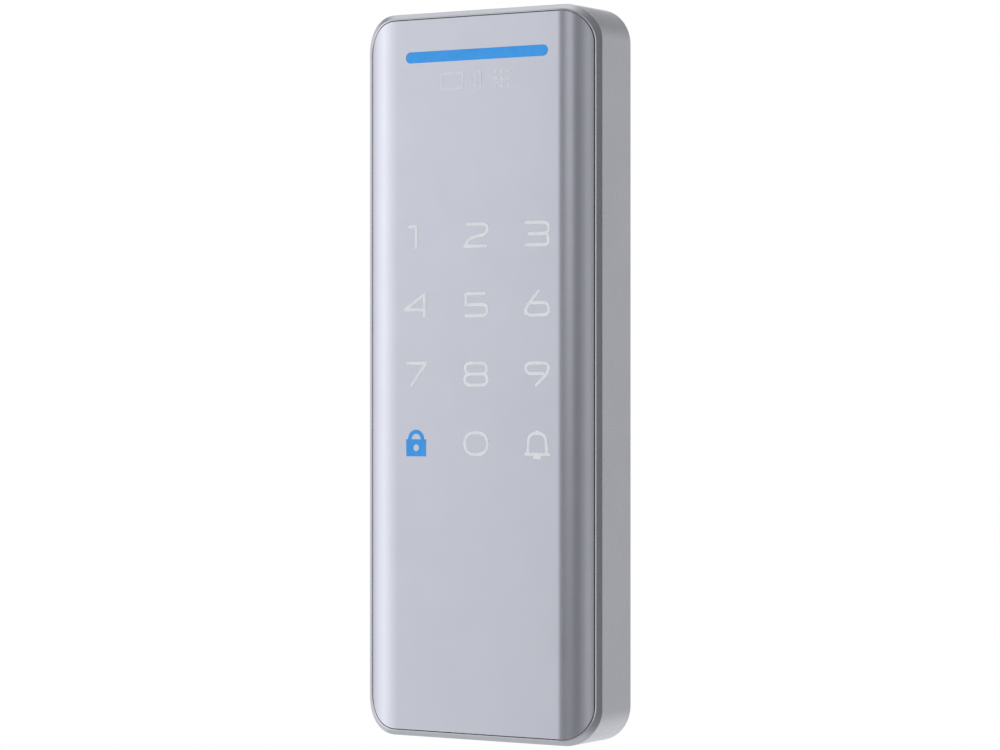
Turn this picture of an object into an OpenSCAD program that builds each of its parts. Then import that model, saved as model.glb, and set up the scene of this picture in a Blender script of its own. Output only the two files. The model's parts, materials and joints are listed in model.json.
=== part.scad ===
// Wall-mounted keypad access reader: a slim housing with a bent front panel, touch keys behind it,
// and a steel wall plate that the reader hooks over and tilts on.
// Axes: +X right seen from the front, +Y into the wall, +Z up. The wall is at y = 0.

/* [Body] */
// Height of the reader
body_h = 160; // [134:1:200]
// Width of the reader
body_w = 60; // [58:1:80]
// Depth from the wall to the front face
body_d = 15.7; // [15.2:0.1:20]
// Radius of the body's corners, seen from the front
corner_r = 8; // [7:0.5:10]
// Thickness of the housing's side walls
wall_t = 2; // [1.6:0.1:2.4]
// Width of the housing's rim around the front panel
rim_w = 1.25; // [1:0.05:1.6]
// How far the rim slopes back to the housing's side
rim_drop = 0.9; // [0.6:0.1:1.4]

/* [Front panel] */
// Thickness of the front panel
panel_t = 2; // [1.6:0.1:2.4]
// Gap around the front panel
panel_seam = 0.2; // [0.1:0.05:0.4]
// Width of the bent strip along each side
bend_w = 8; // [5:0.5:9]
// How far the bent strip falls back
bend_drop = 2.2; // [1:0.1:2.6]
// How much smaller the panel's corner radius is than the body's
corner_step = 0.8; // [0.6:0.1:1.6]
// Thickness of the bonding tape behind the panel
tape_t = 0.3; // [0.2:0.05:0.5]
// Thickness of the ledge that the panel is bonded to
ledge_t = 1.2; // [1:0.1:1.5]
// Width of that ledge
ledge_w = 1.8; // [1.4:0.1:2.2]

/* [Keys] */
// Distance between key columns
key_pitch_x = 15.6; // [14:0.1:16]
// Distance between key rows
key_pitch_z = 15.2; // [14:0.1:16]
// Width of a key legend
legend_w = 6.5; // [5:0.1:8]
// Height of a key legend
legend_h = 5.5; // [5:0.05:7]
// Line width of a key legend
legend_line = 0.68; // [0.4:0.02:0.8]
// Thickness of the printed legends
print_t = 0.05; // [0.03:0.01:0.1]
// Width of one key's light window in the baffle
key_window = 11; // [9:0.5:12]

/* [Status light] */
// Length of the light bar
bar_len = 36.6; // [24:0.2:38]
// Height of the light bar
bar_h = 2.45; // [1.5:0.05:3.5]
// Distance from the reader's top to the middle of the light bar
bar_from_top = 9.8; // [9:0.1:14]

/* [Boards] */
// Thickness of the light baffle
baffle_t = 2.2; // [1.6:0.1:2.6]
// Thickness of the diffuser film
film_t = 0.2; // [0.1:0.05:0.3]
// Thickness of the touch board
touch_board_t = 1; // [0.8:0.1:1.2]
// Thickness of the main board
main_board_t = 1.2; // [0.8:0.1:1.6]
// Height of the rear cover's standoffs
standoff_h = 2.6; // [2.2:0.1:3]

/* [Rear cover] */
// Thickness of the rear cover
cover_t = 1.5; // [1.2:0.1:1.8]
// Gap around the rear cover
cover_gap = 0.2; // [0.1:0.05:0.4]
// Thickness of the rear gasket
gasket_t = 0.6; // [0.4:0.1:1]
// Radius of the wall screws' head dimples
dimple_r = 4.8; // [4:0.1:6]
// Diameter of the cable that the grommet takes
cable_d = 6; // [4:0.5:7]

/* [Wall plate] */
// Thickness of the wall plate's steel
plate_t = 1.2; // [1:0.1:1.5]
// Gap between the wall plate and the rear cover
plate_gap = 1; // [0.8:0.1:1.4]
// Gap between the wall plate and the housing's walls
plate_margin = 2; // [1.5:0.1:3]
// Distance between the two wall screws
wall_screw_pitch = 83.3; // [60:0.1:84]
// Diameter of the wall screw holes
wall_screw_hole = 4.4; // [3.6:0.1:5]
// Distance of each hook from the middle
hook_x = 14; // [12:0.5:15]
// Width of a hook
hook_w = 8.8; // [6:0.2:9]

/* [Security screw] */
// Radius of the screw's thread
screw_r = 1.5; // [1.25:0.05:1.6]
// Length of the screw under its head
screw_len = 8; // [7:0.5:8]
// Radius of the screw's head
screw_head_r = 2.75; // [2.5:0.05:2.9]

/* [Hidden] */
$fn = 48;
hull_fn = 32;

// Overlap that keeps cuts clean
cut = 1;
top_z = body_h / 2;
bottom_z = -top_z;
front_y = -body_d;

// Inside of the housing
cavity_w = body_w - 2 * wall_t;
cavity_h = body_h - 2 * wall_t;
cavity_r = corner_r - wall_t;

// Front panel and its bend
panel_w = body_w - 2 * (rim_w + panel_seam);
panel_h = body_h - 2 * (rim_w + panel_seam);
panel_r = corner_r - corner_step;
recess_w = panel_w + 2 * panel_seam;
recess_h = panel_h + 2 * panel_seam;
recess_r = panel_r + panel_seam;
flat_half = panel_w / 2 - bend_w;
bend_r = (pow(bend_w, 2) + pow(bend_drop, 2)) / (2 * bend_drop);
bend_steps = 10;
outer_bend_w = body_w / 2 - flat_half;
outer_bend_r = (pow(outer_bend_w, 2) + pow(bend_drop, 2)) / (2 * bend_drop);

// Stations through the depth, from the front back
panel_back_y = front_y + panel_t;
film_back_y = panel_back_y + film_t;
touch_front_y = film_back_y + baffle_t;
touch_back_y = touch_front_y + touch_board_t;

// Stations through the depth, from the wall forward
plate_front_y = -plate_t;
cover_back_y = plate_front_y - plate_gap;
cover_front_y = cover_back_y - cover_t;
ledge_back_y = cover_front_y - gasket_t;
main_back_y = cover_front_y - standoff_h;
main_front_y = main_back_y - main_board_t;

// Rear seal
seal_ledge_w = 1.2;
seal_ledge_t = 1.2;
gasket_w = 1;
opening_w = cavity_w - 2 * ledge_w;
opening_h = cavity_h - 2 * ledge_w;

// Cover screws and their bosses
boss_r = 2.6;
boss_x = cavity_w / 2 - 4;
boss_z = cavity_h / 2 - 6;
boss_front_y = touch_back_y + 0.4;
cover_screw_r = 1;
cover_screw_head_r = 1.9;
cover_screw_head_h = 1;
cover_screw_len = 6;
insert_r = 1.6;
insert_len = 4;
boss_places = [for (x = [-boss_x, boss_x], z = [-boss_z, 0, boss_z]) [x, z]];

// Hooks of the wall plate and the pockets they reach into
hook_z = top_z - wall_t - 7.4;
hook_t = 1.2;
hook_lip_gap = 1.4;
hook_lip_h = 3;
hook_lip_y = cover_front_y - hook_lip_gap;
hook_front_y = hook_lip_y - hook_t;
hook_slot_w = hook_w + 1.2;
hook_slot_bottom = hook_z - 3.2;
hook_slot_top = hook_z + hook_t + 0.1;
hook_pocket_top = hook_z + hook_t + hook_lip_h + 0.5;
hook_pocket_y = hook_front_y - 1.1;
pocket_wall = 1.2;
dimple_depth = 3;

// Security screw, its tab and its boss
screw_y = -4.6;
screw_washer_t = 0.5;
screw_head_h = 2;
screw_recess = 0.1;
tab_w = 10;
tab_t = 1.2;
tab_gap = 0.4;
tab_front_y = -8;
foot_h = 4;
foot_top_z = bottom_z + foot_h;
foot_front_y = -9;
foot_recess_h = screw_recess + screw_head_h + screw_washer_t;
foot_slot_w = 2 * screw_r + 0.4;
foot_recess_w = 2 * screw_head_r + 0.5;
tab_bottom_z = foot_top_z + tab_gap;
screw_seat_z = bottom_z + screw_recess + screw_head_h;
screw_top_z = screw_seat_z + screw_len;
pocket_w = tab_w + 2;
pocket_top_z = screw_top_z + screw_washer_t + 1.4;
pocket_front_y = foot_front_y - 0.6;

// Touch board and what is on it
touch_board_w = 2 * flat_half + 9;
touch_board_r = 3;
bar_z = top_z - bar_from_top;
touch_top_z = top_z - 5;
touch_bottom_z = -key_pitch_z - 9.8;
touch_screw_x = touch_board_w / 2 - 2.2;
touch_screw_places = [
    for (x = [-touch_screw_x, touch_screw_x], z = [touch_bottom_z + 3, bar_z - 12]) [x, z]
];
bar_flange = 1;
bar_flange_t = 0.8;
led_w = 1.6;
led_h = 0.8;
led_t = 0.7;
bar_led_count = 4;
controller_w = 6;
controller_t = 0.9;
electrode_w = key_window - 0.6;
electrode_hole = 3.2;
electrode_t = 0.1;
key_shift_z = 0.2;
key_places = [
    for (row = [2:-1:-1], col = [-1:1]) [col * key_pitch_x, row * key_pitch_z + key_shift_z]
];

// Padlock on the blue key
lock_w = 5.2;
lock_h = 3.8;
lock_low = 1.1;
keyhole_r = 0.75;
shackle_r = 2.1;
shackle_line = 0.9;

// Faint mark under the light bar: a card, its waves and a keypad's dots
card_below_bar = 5.6;
card_x = -6.2;
card_w = 6;
card_h = 4;
card_line = 0.5;
wave_x = -2.6;
wave_radii = [1.6, 2.9, 4.2];
wave_reach = 4;
wave_rise = 2.4;
dots_x = 6.6;
dot_r = 0.42;
dot_pitch = 1.6;

// Blank label on the rear cover
label_z = 18;
label_w = 26;
label_h = 16;
label_t = 0.1;

// Main board and what is on it
main_board_w = 2 * (boss_x - boss_r) - 1.2;
main_top_z = hook_z - 5.2;
main_bottom_z = pocket_top_z + 1.5;
board_hole_x = main_board_w / 2 - 3.3;
board_screw_places = [
    for (x = [-board_hole_x, board_hole_x], z = [main_bottom_z + 4, main_top_z - 4]) [x, z]
];
standoff_r = 2.4;
board_screw_r = 1;
board_screw_head_r = 1.9;
board_screw_head_h = 1.2;
board_screw_len = 3.6;

// Link between the two boards
link_x = 14.5;
link_z = -18;
link_split_y = (main_front_y + touch_back_y) / 2;
plug_w = 10;
plug_h = 4;
socket_w = 11;
socket_h = 5;

// Cable entry
cable_z = -15;
cable_slot_w = 15;
cable_slot_h = 22;
cable_window_w = 30;
cable_window_h = 18;
grommet_neck_r = cable_d / 2 + 1.2;
grommet_flange_r = cable_d / 2 + 3;
grommet_flange_t = 0.8;

// Wall plate outline
plate_w = cavity_w - 2 * plate_margin;
plate_top_z = top_z - 4.5;
plate_bottom_z = tab_bottom_z;
plate_r = 5;

// Antenna
antenna_w = 2 * flat_half - 0.6;
antenna_top_z = touch_bottom_z - 2;
antenna_bottom_z = bottom_z + 7;
antenna_board_t = 0.8;
antenna_coil_t = 0.3;
ferrite_t = 0.3;
antenna_y = panel_back_y + antenna_board_t;
antenna_back_y = antenna_y + antenna_coil_t + ferrite_t;
antenna_pin_x = 4;
antenna_pin_z = antenna_top_z - 2.5;

antenna_coil_gap = 1.5;
antenna_coil_h = antenna_top_z - antenna_bottom_z - 8;
antenna_turns = 4;
antenna_turn_pitch = 1.5;
antenna_track_w = 1;

// Tall parts on the main board stop short of the antenna's ferrite sheet
tall_h = main_front_y - antenna_back_y - 0.4;
buzzer_x = 12;
buzzer_z = -43;
buzzer_h = tall_h - 0.4;

// Terminal block
terminal_x = 4;
terminal_z = -56.5;
terminal_ways = 6;
terminal_pitch = 3.5;
terminal_screw_z = terminal_z - 1;
terminal_screw_r = 1.2;
terminal_well_floor = 1.6;
terminal_places = [
    for (i = [0:terminal_ways - 1]) terminal_x + (i - (terminal_ways - 1) / 2) * terminal_pitch
];

// Tamper switch
tamper_x = 14;
tamper_z = -30;
plunger_r = 1.5;
plunger_out = 1.2;
plunger_flange_r = 2.3;
plunger_flange_t = 0.6;
plunger_clear = 0.05;
tamper_body_w = 7;
tamper_body_d = tall_h;
tamper_lid_t = 0.3;
tamper_bore_r = 2.5;
plunger_flange_y = main_front_y - tamper_lid_t - 0.1;
spring_end_y = main_front_y - tamper_body_d + 0.4;

// Parts on the main board: place across and up, then width, height and how tall they stand
microcontroller_place = [0, 30];
microcontroller_size = [9, 9, 1.2];
reader_chip_place = [-9, -35];
reader_chip_size = [5, 5, 0.9];
crystal_place = [-15.5, -35];
crystal_size = [3.2, 2.5, 0.8];
regulator_place = [8, 50];
regulator_size = [6.5, 3.5, 1.6];
inductor_place = [-5, 50];
inductor_size = [5, 5, 2];
relay_place = [-11.5, -50];
relay_size = [10, 6.5, tall_h];
terminal_place = [terminal_x, terminal_z];
terminal_size = [terminal_ways * terminal_pitch, 6.5, tall_h];
tamper_place = [tamper_x, tamper_z];
tamper_size = [tamper_body_w, tamper_body_w, tamper_body_d];
tank_capacitor_places = [[-13, 44], [15, 44]];
tank_capacitor_size = [3.5, 2.8, 1.8];
bypass_capacitor_places = [for (i = [0:3]) [4 * i - 6, 22]];
bypass_capacitor_size = [1.6, 0.8, 0.8];
tuning_capacitor_places = [for (i = [0:2]) [3 * i - 16, -30]];
tuning_capacitor_size = [1, 0.5, 0.5];

// Distance that the bent strip has fallen back at a place across the panel
function fall(x, r) = let (s = max(0, abs(x) - flat_half)) r - sqrt(r * r - s * s);

// Places across the width where a bent profile is drawn
function bend_places(half) = concat(
    [for (i = [0:bend_steps]) -half + i * (half - flat_half) / bend_steps],
    [for (i = [0:bend_steps]) flat_half + i * (half - flat_half) / bend_steps]
);

module rounded_rect(w, h, r) {
    square([w - 2 * r, h], center = true);
    square([w, h - 2 * r], center = true);
    for (x = [-1, 1], z = [-1, 1])
        translate([x * (w / 2 - r), z * (h / 2 - r)]) circle(r);
}

// A shape drawn in the X-Z plane, made solid from back_y forward to fore_y
module slab_y(back_y, fore_y) {
    translate([0, back_y, 0])
        rotate([90, 0, 0])
            linear_extrude(back_y - fore_y) children();
}

// A round bar along the depth
module rod_y(x, z, r, back_y, fore_y) {
    translate([x, back_y, z])
        rotate([90, 0, 0])
            cylinder(r = r, h = back_y - fore_y);
}

// A box given by its middle in X and Z and its two stations in depth
module block(x, z, w, h, back_y, fore_y) {
    translate([x - w / 2, fore_y, z - h / 2])
        cube([w, back_y - fore_y, h]);
}

// Everything behind a bent surface: "inset" behind the front face
module behind_bend(half, r, inset) {
    linear_extrude(2 * body_h, center = true)
        polygon(concat(
            [[-half, cut], [half, cut]],
            [for (x = bend_places(half)) [-x, front_y + inset + fall(x, r)]]
        ));
}

module wall_plate() {
    color("silver") {
        difference() {
            translate([0, 0, (plate_top_z + plate_bottom_z) / 2])
                slab_y(0, plate_front_y)
                    rounded_rect(plate_w, plate_top_z - plate_bottom_z, plate_r);
            for (side = [-1, 1])
                rod_y(0, side * wall_screw_pitch / 2, wall_screw_hole / 2, cut, -plate_t - cut);
            translate([0, 0, cable_z])
                slab_y(cut, -plate_t - cut) rounded_rect(cable_window_w, cable_window_h, 3);
            rod_y(tamper_x, tamper_z, plunger_r + 1.5, cut, -plate_t - cut);
        }
        for (side = [-1, 1]) hook(side * hook_x);
        screw_tab();
    }
}

module hook(x) {
    block(x, hook_z + hook_t / 2, hook_w, hook_t, -plate_t / 2, hook_front_y);
    block(x, hook_z + (hook_t + hook_lip_h) / 2, hook_w, hook_t + hook_lip_h,
        hook_lip_y, hook_front_y);
}

module screw_tab() {
    difference() {
        block(0, tab_bottom_z + tab_t / 2, tab_w, tab_t, -plate_t / 2, tab_front_y);
        translate([0, screw_y, tab_bottom_z - cut])
            cylinder(r = screw_r + 0.05, h = tab_t + 2 * cut);
    }
}

module security_screw() {
    color("dimgray") difference() {
        union() {
            translate([0, screw_y, screw_seat_z - screw_head_h])
                cylinder(r = screw_head_r, h = screw_head_h);
            translate([0, screw_y, screw_seat_z - 0.1])
                cylinder(r = screw_r, h = screw_len + 0.1);
        }
        translate([0, screw_y, screw_seat_z - screw_head_h - cut])
            cylinder(r = 1.15, h = 1.2 + cut, $fn = 6);
        translate([0, screw_y, screw_seat_z - screw_head_h - cut])
            cylinder(r = 0.4, h = 1.6 + cut);
    }
}

module screw_washer() {
    color("white") translate([0, screw_y, screw_seat_z]) difference() {
        cylinder(r = screw_head_r, h = screw_washer_t);
        translate([0, 0, -cut]) cylinder(r = screw_r + 0.06, h = screw_washer_t + 2 * cut);
    }
}

// The housing's outside, with the rim sloping back from the panel's edge
module housing_outside() {
    hull() {
        intersection() {
            slab_y(0, front_y - cut) rounded_rect(body_w, body_h, corner_r, $fn = hull_fn);
            behind_bend(body_w / 2, outer_bend_r, rim_drop);
        }
        intersection() {
            slab_y(0, front_y - cut) rounded_rect(recess_w, recess_h, recess_r, $fn = hull_fn);
            behind_bend(recess_w / 2, bend_r, 0);
        }
    }
}

module housing() {
    color("lightgray") difference() {
        union() {
            difference() {
                housing_outside();
                panel_recess();
                rear_cavity();
                slab_y(cut, front_y - cut)
                    rounded_rect(opening_w, opening_h, cavity_r - ledge_w);
            }
            difference() {
                union() {
                    seal_ledge();
                    for (place = boss_places) cover_boss(place);
                }
                for (place = boss_places)
                    rod_y(place[0], place[1], insert_r, cut, cover_front_y - cover_screw_len);
            }
            block(0, (bottom_z + foot_top_z) / 2 + wall_t / 4, tab_w, foot_h - wall_t / 2,
                0, foot_front_y);
        }
        screw_slot(foot_slot_w, foot_h + 2 * cut, bottom_z - cut);
        screw_slot(foot_recess_w, foot_recess_h + cut, bottom_z - cut);
    }
}

module panel_recess() {
    difference() {
        slab_y(front_y + 3 * bend_drop + panel_t, front_y - cut)
            rounded_rect(recess_w, recess_h, recess_r);
        behind_bend(body_w / 2, bend_r, panel_t + tape_t);
    }
}

module rear_cavity() {
    intersection() {
        slab_y(cut, front_y) rounded_rect(cavity_w, cavity_h, cavity_r);
        behind_bend(body_w / 2, bend_r, panel_t + tape_t + ledge_t);
    }
}

module seal_ledge() {
    difference() {
        slab_y(ledge_back_y, ledge_back_y - seal_ledge_t)
            rounded_rect(cavity_w + wall_t, cavity_h + wall_t, cavity_r + wall_t / 2);
        slab_y(ledge_back_y + cut, ledge_back_y - seal_ledge_t - cut)
            rounded_rect(cavity_w - 2 * seal_ledge_w, cavity_h - 2 * seal_ledge_w,
                cavity_r - seal_ledge_w);
        block(0, bottom_z, pocket_w + 2 * pocket_wall + 1, 2 * (foot_h + 4), cut, front_y);
    }
}

module cover_boss(place) {
    side = place[0] > 0 ? 1 : -1;
    rod_y(place[0], place[1], boss_r, cover_front_y, boss_front_y);
    block(side * (boss_x + cavity_w / 2 + wall_t / 2) / 2, place[1],
        cavity_w / 2 + wall_t / 2 - boss_x, 2.4, ledge_back_y - 0.2, boss_front_y);
}

// An upright slot that is round at the front and open towards the wall
module screw_slot(w, h, z) {
    translate([0, screw_y, z]) cylinder(d = w, h = h);
    translate([-w / 2, screw_y, z]) cube([w, cut - screw_y, h]);
}

module panel_solid(w, h, r, front_in, back_in) {
    difference() {
        intersection() {
            slab_y(front_y + body_d / 2, front_y - cut) rounded_rect(w, h, r);
            behind_bend(body_w / 2, bend_r, front_in);
        }
        behind_bend(body_w / 2, bend_r, back_in);
    }
}

module bar_shape(grow) {
    hull_half = bar_len / 2 - bar_h / 2;
    square([2 * hull_half, bar_h + 2 * grow], center = true);
    for (side = [-1, 1])
        translate([side * hull_half, 0]) circle(bar_h / 2 + grow);
}

module front_panel() {
    color("silver") difference() {
        panel_solid(panel_w, panel_h, panel_r, 0, panel_t);
        translate([0, 0, bar_z]) slab_y(panel_back_y + cut, front_y - cut) bar_shape(0);
    }
}

module panel_tape() {
    color("black") difference() {
        panel_solid(panel_w - 0.4, panel_h - 0.4, panel_r - 0.2, panel_t, panel_t + tape_t);
        slab_y(0, front_y - cut) rounded_rect(opening_w, opening_h, cavity_r - ledge_w);
    }
}

module light_bar() {
    color("dodgerblue") translate([0, 0, bar_z]) {
        slab_y(panel_back_y, front_y) bar_shape(0);
        slab_y(panel_back_y + bar_flange_t, panel_back_y) bar_shape(bar_flange);
    }
}

// A rounded corner of a line, as points from one side of the corner to the other
function corner(a, v, b, r) =
    let (from = v + r * (a - v) / norm(a - v), to = v + r * (b - v) / norm(b - v))
    [for (t = [0:0.25:1]) pow(1 - t, 2) * from + 2 * t * (1 - t) * v + t * t * to];

// A line through points with its inner corners rounded
function soft_line(p, r) = concat(
    [p[0]],
    [for (i = [1:len(p) - 2]) for (q = corner(p[i - 1], p[i], p[i + 1], r)) q],
    [p[len(p) - 1]]
);

module stroke(points, line) {
    for (i = [0:len(points) - 2])
        hull() {
            translate(points[i]) circle(d = line, $fn = 12);
            translate(points[i + 1]) circle(d = line, $fn = 12);
        }
}

// Strokes of each legend on a grid from -1 to 1: corner radius, then the points
glyphs = [
    [[0.1, [[-0.6, 0.9], [0, 0.95], [0, -1]]]],
    [[0.45, [[-0.8, 1], [1, 1], [1, 0.1], [-0.55, -0.25], [-1, -1]]], [0, [[-1, -1], [0.9, -1]]]],
    [[0.5, [[-1, 1], [1, 1], [1, 0], [-0.7, 0]]], [0.35, [[0.6, 0], [0.95, 0], [0.95, -1], [-1, -1]]]],
    [[0.05, [[0.75, -1], [0.75, 1], [-1, -0.4], [0.75, -0.4]]]],
    [[0.1, [[0.8, 1], [-0.9, 1], [-0.9, 0], [-0.6, 0]]],
        [0.5, [[-0.9, 0], [1, 0], [1, -1], [-0.9, -1]]]],
    [[0.5, [[0.1, 1.15], [-1, -0.35], [-1, -1], [1, -1], [1, 0.1], [-0.4, 0.1]]]],
    [[0.05, [[-0.8, 1], [0.9, 1], [-0.4, -1]]]],
    [[0.49, [[0, 0], [-0.95, 0], [-0.95, 1], [0.95, 1], [0.95, 0], [0, 0]]],
        [0.49, [[0, 0], [-1, 0], [-1, -1], [1, -1], [1, 0], [0, 0]]]],
    [[0.5, [[0.5, 0.05], [-1, 0.05], [-1, 1], [1, 1], [1, 0.2], [-0.1, -1]]]],
    [[0.97, [[0, 1], [1, 1], [1, -1], [-1, -1], [-1, 1], [0, 1]]]],
    [[0.71, [[-0.82, -0.85], [-0.72, 1], [0.72, 1], [0.82, -0.85]]], [0, [[-1, -0.9], [1, -0.9]]],
        [0, [[-0.25, -1.18], [0.25, -1.18]]], [0, [[-0.08, 1.1], [0.08, 1.1]]]]
];

// The key that each of those legends belongs to, counted by rows from the top left
glyph_keys = [0, 1, 2, 3, 4, 5, 6, 7, 8, 10, 11];
lock_key = 9;

module glyph(strokes) {
    half_w = (legend_w - legend_line) / 2;
    half_h = (legend_h - legend_line) / 2;
    for (s = strokes)
        stroke([for (p = len(s[1]) > 2 ? soft_line(s[1], s[0]) : s[1]) [p[0] * half_w, p[1] * half_h]],
            legend_line);
}

module on_front(place) {
    translate([place[0], front_y, place[1]])
        rotate([90, 0, 0]) linear_extrude(print_t) children();
}

module key_legends() {
    color("white")
        for (i = [0:len(glyph_keys) - 1])
            on_front(key_places[glyph_keys[i]]) glyph(glyphs[i]);
}

module lock_legend() {
    color("dodgerblue") on_front(key_places[lock_key]) {
        difference() {
            translate([0, -lock_low]) square([lock_w, lock_h], center = true);
            translate([0, -lock_low]) circle(keyhole_r);
        }
        translate([0, lock_h / 2 - lock_low]) difference() {
            circle(shackle_r);
            circle(shackle_r - shackle_line);
            translate([0, -shackle_r]) square(2 * shackle_r, center = true);
        }
    }
}

module card_mark() {
    color("gainsboro") on_front([0, bar_z - card_below_bar]) {
        translate([card_x, 0]) difference() {
            square([card_w, card_h], center = true);
            square([card_w - 2 * card_line, card_h - 2 * card_line], center = true);
        }
        for (r = wave_radii)
            translate([wave_x, 0]) intersection() {
                difference() {
                    circle(r);
                    circle(r - card_line);
                }
                polygon([[0, 0], [wave_reach, wave_rise], [wave_reach, -wave_rise]]);
            }
        for (col = [-1:1], row = [-1:1])
            translate([dots_x + col * dot_pitch, row * dot_pitch]) circle(dot_r, $fn = 16);
    }
}

module diffuser_film() {
    top = key_places[0][1] + key_window / 2 + 1;
    bottom = key_places[lock_key][1] - key_window / 2 - 1;
    color("white") block(0, (top + bottom) / 2, 2 * flat_half - 0.4, top - bottom,
        film_back_y, panel_back_y);
}

module touch_outline() {
    rounded_rect(touch_board_w, touch_top_z - touch_bottom_z, touch_board_r);
}

module light_baffle() {
    middle = (touch_top_z + touch_bottom_z) / 2;
    color("whitesmoke") difference() {
        intersection() {
            translate([0, 0, middle]) slab_y(touch_front_y, film_back_y) touch_outline();
            behind_bend(body_w / 2, bend_r, panel_t + film_t);
        }
        for (place = key_places)
            block(place[0], place[1], key_window, key_window, touch_front_y + cut, film_back_y - cut);
        translate([0, 0, bar_z])
            slab_y(touch_front_y + cut, film_back_y - cut) bar_shape(bar_flange + 0.1);
        for (place = touch_screw_places)
            rod_y(place[0], place[1], board_screw_r, touch_front_y + cut, touch_front_y - 1.2);
    }
}

module touch_board() {
    middle = (touch_top_z + touch_bottom_z) / 2;
    color("darkgreen") difference() {
        translate([0, 0, middle]) slab_y(touch_back_y, touch_front_y) touch_outline();
        for (place = touch_screw_places)
            rod_y(place[0], place[1], board_screw_r, touch_back_y + cut, touch_front_y - cut);
    }
}

module touch_electrodes() {
    color("orange")
        for (place = key_places)
            difference() {
                block(place[0], place[1], electrode_w, electrode_w,
                    touch_front_y, touch_front_y - electrode_t);
                rod_y(place[0], place[1], electrode_hole / 2,
                    touch_front_y + cut, touch_front_y - cut);
            }
}

module key_leds() {
    color("white")
        for (place = key_places)
            block(place[0], place[1], led_w, led_h, touch_front_y, touch_front_y - led_t);
}

module status_leds() {
    color("lightblue")
        for (i = [0:bar_led_count - 1])
            block((i - (bar_led_count - 1) / 2) * bar_len / bar_led_count, bar_z, led_w, led_h,
                touch_front_y, touch_front_y - led_t);
}

module touch_controller() {
    color("black") block(0, key_pitch_z / 2, controller_w, controller_w,
        touch_back_y + controller_t, touch_back_y);
}

// A pan-head screw along the depth: the head lies behind head_y, the shank runs forward
module small_screw(place, head_y, shank_len, head_h, direction) {
    rod_y(place[0], place[1], board_screw_head_r,
        direction > 0 ? head_y + head_h : head_y, direction > 0 ? head_y : head_y - head_h);
    rod_y(place[0], place[1], board_screw_r,
        direction > 0 ? head_y : head_y + shank_len, direction > 0 ? head_y - shank_len : head_y);
}

module touch_board_screws() {
    color("silver")
        for (place = touch_screw_places) small_screw(place, touch_back_y, 2, 0.9, 1);
}

module link_plug() {
    color("ivory") block(link_x, link_z, plug_w, plug_h, link_split_y, touch_back_y);
}

module link_socket() {
    color("black") block(link_x, link_z, socket_w, socket_h, main_front_y, link_split_y);
}

module main_board() {
    middle = (main_top_z + main_bottom_z) / 2;
    color("green") difference() {
        block(0, middle, main_board_w, main_top_z - main_bottom_z, main_back_y, main_front_y);
        block(0, cable_z, cable_slot_w, cable_slot_h, main_back_y + cut, main_front_y - cut);
        rod_y(tamper_x, tamper_z, plunger_r + 0.3, main_back_y + cut, main_front_y - cut);
        for (place = board_screw_places)
            rod_y(place[0], place[1], board_screw_r, main_back_y + cut, main_front_y - cut);
    }
}

// A part that stands on the front of the main board
module on_main(place, size) {
    block(place[0], place[1], size[0], size[1], main_front_y, main_front_y - size[2]);
}

module microcontroller() {
    color("black") on_main(microcontroller_place, microcontroller_size);
}

module reader_chip() {
    color("black") on_main(reader_chip_place, reader_chip_size);
}

module crystal() {
    color("silver") on_main(crystal_place, crystal_size);
}

module power_regulator() {
    color("black") on_main(regulator_place, regulator_size);
}

module power_inductor() {
    color("dimgray") on_main(inductor_place, inductor_size);
}

module capacitors() {
    color("tan") {
        for (place = tank_capacitor_places) on_main(place, tank_capacitor_size);
        for (place = bypass_capacitor_places) on_main(place, bypass_capacitor_size);
        for (place = tuning_capacitor_places) on_main(place, tuning_capacitor_size);
    }
}

module relay() {
    color("darkorange") on_main(relay_place, relay_size);
}

module buzzer() {
    color("black") difference() {
        rod_y(buzzer_x, buzzer_z, 4.75, main_front_y, main_front_y - buzzer_h);
        rod_y(buzzer_x, buzzer_z, 0.8, main_front_y - buzzer_h + 1, main_front_y - buzzer_h - cut);
    }
}

module terminal_block() {
    color("green") difference() {
        on_main(terminal_place, terminal_size);
        for (x = terminal_places) {
            rod_y(x, terminal_screw_z, terminal_screw_r,
                main_front_y - terminal_well_floor, main_front_y - tall_h - cut);
            block(x, terminal_z + 3, 2, 3, main_front_y - 0.8, main_front_y - 2.6);
        }
    }
}

module terminal_screws() {
    color("silver")
        for (x = terminal_places)
            difference() {
                rod_y(x, terminal_screw_z, terminal_screw_r,
                    main_front_y - terminal_well_floor, main_front_y - tall_h + 0.6);
                block(x, terminal_screw_z, 2, 0.4, main_front_y - tall_h + 1.1, main_front_y - tall_h);
            }
}

module antenna_board() {
    color("seagreen") translate([0, 0, (antenna_top_z + antenna_bottom_z) / 2])
        slab_y(antenna_y, panel_back_y)
            rounded_rect(antenna_w, antenna_top_z - antenna_bottom_z, 3);
}

module antenna_coil() {
    color("chocolate") translate([0, 0, antenna_bottom_z + antenna_coil_gap + antenna_coil_h / 2])
        slab_y(antenna_y + antenna_coil_t, antenna_y)
            for (turn = [0:antenna_turns - 1]) {
                inset = 2 * antenna_turn_pitch * turn;
                inner = inset + 2 * antenna_track_w;
                width = antenna_w - 2 * antenna_coil_gap;
                difference() {
                    rounded_rect(width - inset, antenna_coil_h - inset, 4);
                    rounded_rect(width - inner, antenna_coil_h - inner, 3);
                }
            }
}

module ferrite_sheet() {
    height = antenna_top_z - antenna_bottom_z - 6;
    color("dimgray") translate([0, 0, antenna_bottom_z + 0.5 + height / 2])
        slab_y(antenna_back_y, antenna_y + antenna_coil_t)
            rounded_rect(antenna_w - 1, height, 2);
}

module antenna_pins() {
    color("gold")
        for (side = [-1, 1])
            rod_y(side * antenna_pin_x, antenna_pin_z, 0.6, main_front_y, antenna_y);
}

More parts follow.
